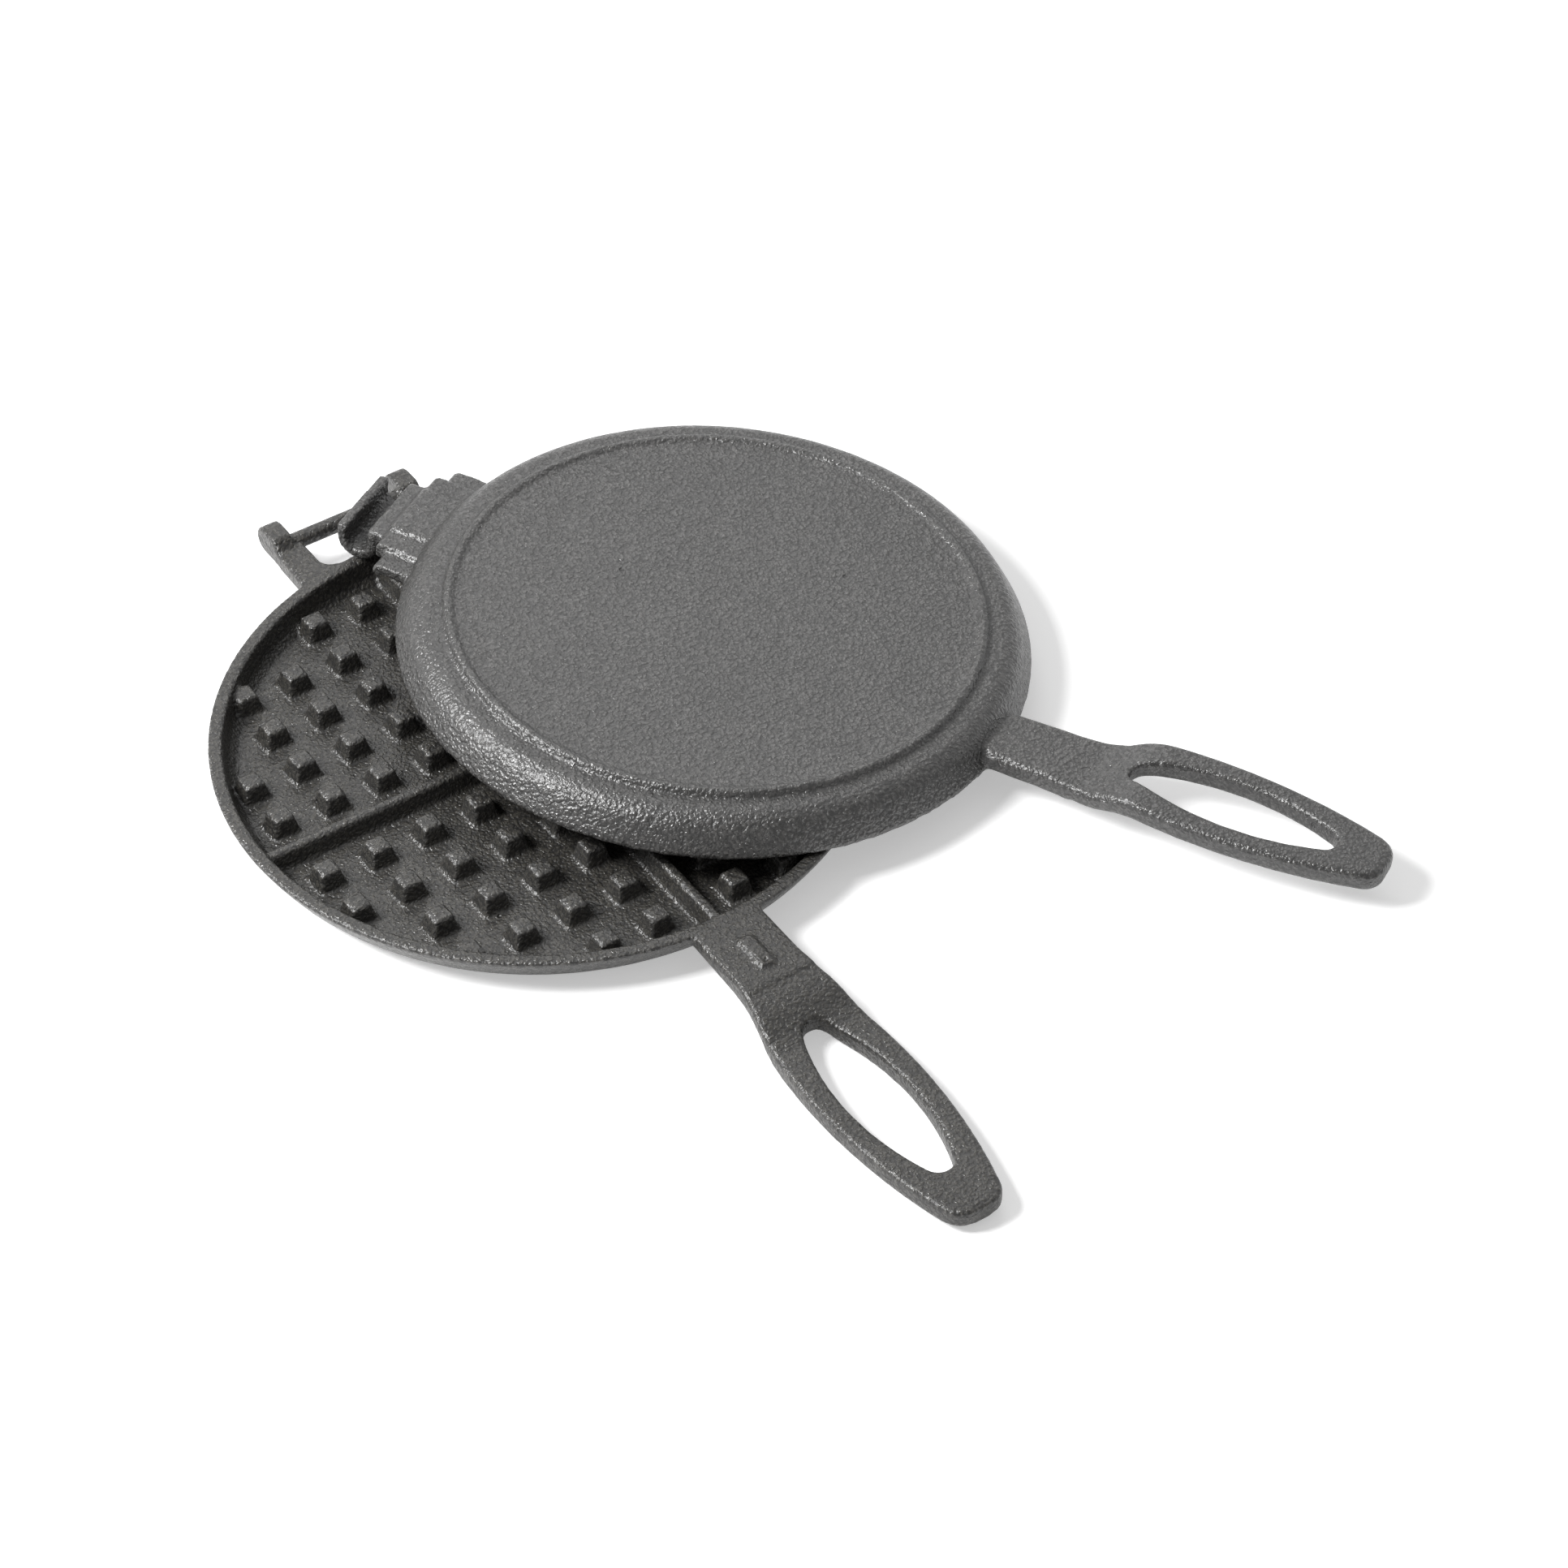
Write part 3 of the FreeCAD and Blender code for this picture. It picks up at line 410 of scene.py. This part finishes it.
# It is seen as white, more so towards its far ends, where it meets the white tent
paper_ray = add_node(paper_tree, "ShaderNodeLightPath")
paper_seen = add_node(paper_tree, "ShaderNodeMath", operation="MAXIMUM")
paper_through = add_node(paper_tree, "ShaderNodeMath", operation="MAXIMUM")
paper_place = add_node(paper_tree, "ShaderNodeTexCoord")
paper_reach = add_node(paper_tree, "ShaderNodeVectorMath", operation="LENGTH")
paper_glow = add_node(paper_tree, "ShaderNodeMapRange")
paper_glow.inputs["From Min"].default_value = 0.5
paper_glow.inputs["From Max"].default_value = 2.0
paper_glow.inputs["To Min"].default_value = 0.4
paper_glow.inputs["To Max"].default_value = 0.8
paper_level = add_node(paper_tree, "ShaderNodeMath", operation="MULTIPLY")
paper_tree.links.new(paper_ray.outputs["Is Camera Ray"], paper_seen.inputs[0])
paper_tree.links.new(paper_ray.outputs["Is Glossy Ray"], paper_seen.inputs[1])
paper_tree.links.new(paper_seen.outputs["Value"], paper_through.inputs[0])
paper_tree.links.new(paper_ray.outputs["Is Transmission Ray"], paper_through.inputs[1])
paper_tree.links.new(paper_place.outputs["Object"], paper_reach.inputs[0])
paper_tree.links.new(paper_reach.outputs["Value"], paper_glow.inputs["Value"])
paper_tree.links.new(paper_through.outputs["Value"], paper_level.inputs[0])
paper_tree.links.new(paper_glow.outputs["Result"], paper_level.inputs[1])
paper_tree.links.new(paper_level.outputs["Value"], sheet.inputs["Emission Strength"])
floor.data.materials.append(paper_white)


# Studio light: a white tent all round, a key lamp on the left and a weaker one far behind.
# The tent is seen as white, and lights the plates less than it shows.
tent = bpy.data.worlds.new("studio_tent")
tent.use_nodes = True
bpy.context.scene.world = tent
sky = tent.node_tree.nodes["Background"]
sky.inputs["Color"].default_value = (1.0, 1.0, 1.0, 1.0)


# The tent is open towards the camera's side of the studio, which is dim
ray = add_node(tent.node_tree, "ShaderNodeLightPath")
heading = add_node(tent.node_tree, "ShaderNodeTexCoord")
nearness = add_node(tent.node_tree, "ShaderNodeVectorMath", operation="DOT_PRODUCT")
nearness.inputs[1].default_value = (0.8287, -0.5597, 0.0)
mirrored = add_node(tent.node_tree, "ShaderNodeMapRange", interpolation_type="SMOOTHSTEP")
mirrored.inputs["From Min"].default_value = -0.5
mirrored.inputs["From Max"].default_value = 0.7
mirrored.inputs["To Min"].default_value = 0.85
mirrored.inputs["To Max"].default_value = 0.25
glossy_part = add_node(tent.node_tree, "ShaderNodeMix", data_type="FLOAT")
glossy_part.inputs["A"].default_value = 0.34
through_ray = add_node(tent.node_tree, "ShaderNodeMath", operation="MAXIMUM")
seen_part = add_node(tent.node_tree, "ShaderNodeMix", data_type="FLOAT")
seen_part.inputs["B"].default_value = 1.0
tent.node_tree.links.new(heading.outputs["Generated"], nearness.inputs[0])
tent.node_tree.links.new(nearness.outputs["Value"], mirrored.inputs["Value"])
tent.node_tree.links.new(ray.outputs["Is Glossy Ray"], glossy_part.inputs["Factor"])
tent.node_tree.links.new(mirrored.outputs["Result"], glossy_part.inputs["B"])
tent.node_tree.links.new(ray.outputs["Is Camera Ray"], through_ray.inputs[0])
tent.node_tree.links.new(ray.outputs["Is Transmission Ray"], through_ray.inputs[1])
tent.node_tree.links.new(through_ray.outputs["Value"], seen_part.inputs["Factor"])
tent.node_tree.links.new(glossy_part.outputs["Result"], seen_part.inputs["A"])
tent.node_tree.links.new(seen_part.outputs["Result"], sky.inputs["Strength"])
aim = Vector((0.05, 0.04, 0.0))
for name, spot, side, watts in (
    ("key_lamp", (-0.25, -0.76, 0.91), 0.42, 24.0),
    ("back_panel", (-1.02, 0.62, 1.0), 0.85, 4.0),
):
    lamp = bpy.data.lights.new(name, "AREA")
    lamp.shape = "SQUARE"
    lamp.size = side
    lamp.energy = watts
    stand_in = bpy.data.objects.new(name, lamp)
    stand_in.location = spot
    stand_in.rotation_euler = (aim - Vector(spot)).to_track_quat("-Z", "Y").to_euler()
    stand_in.visible_camera = False
    bpy.context.scene.collection.objects.link(stand_in)
bpy.context.scene.view_settings.view_transform = "Standard"


# Camera: a long lens from in front and above, over the right-hand side of the two handles.
# Its place, aim and lens are those of the photograph's view, with no shift.
lens = bpy.data.cameras.new("view_camera")
lens.lens = 115.7
lens.sensor_width = 36.0
lens.clip_end = 20.0
camera = bpy.data.objects.new("view_camera", lens)
camera.location = (0.9298, -0.5437, 1.0028)
camera_aim = Vector((0.0592, 0.0443, 0.0135))
camera.rotation_euler = (camera_aim - camera.location).to_track_quat("-Z", "Y").to_euler()
bpy.context.scene.collection.objects.link(camera)
bpy.context.scene.camera = camera
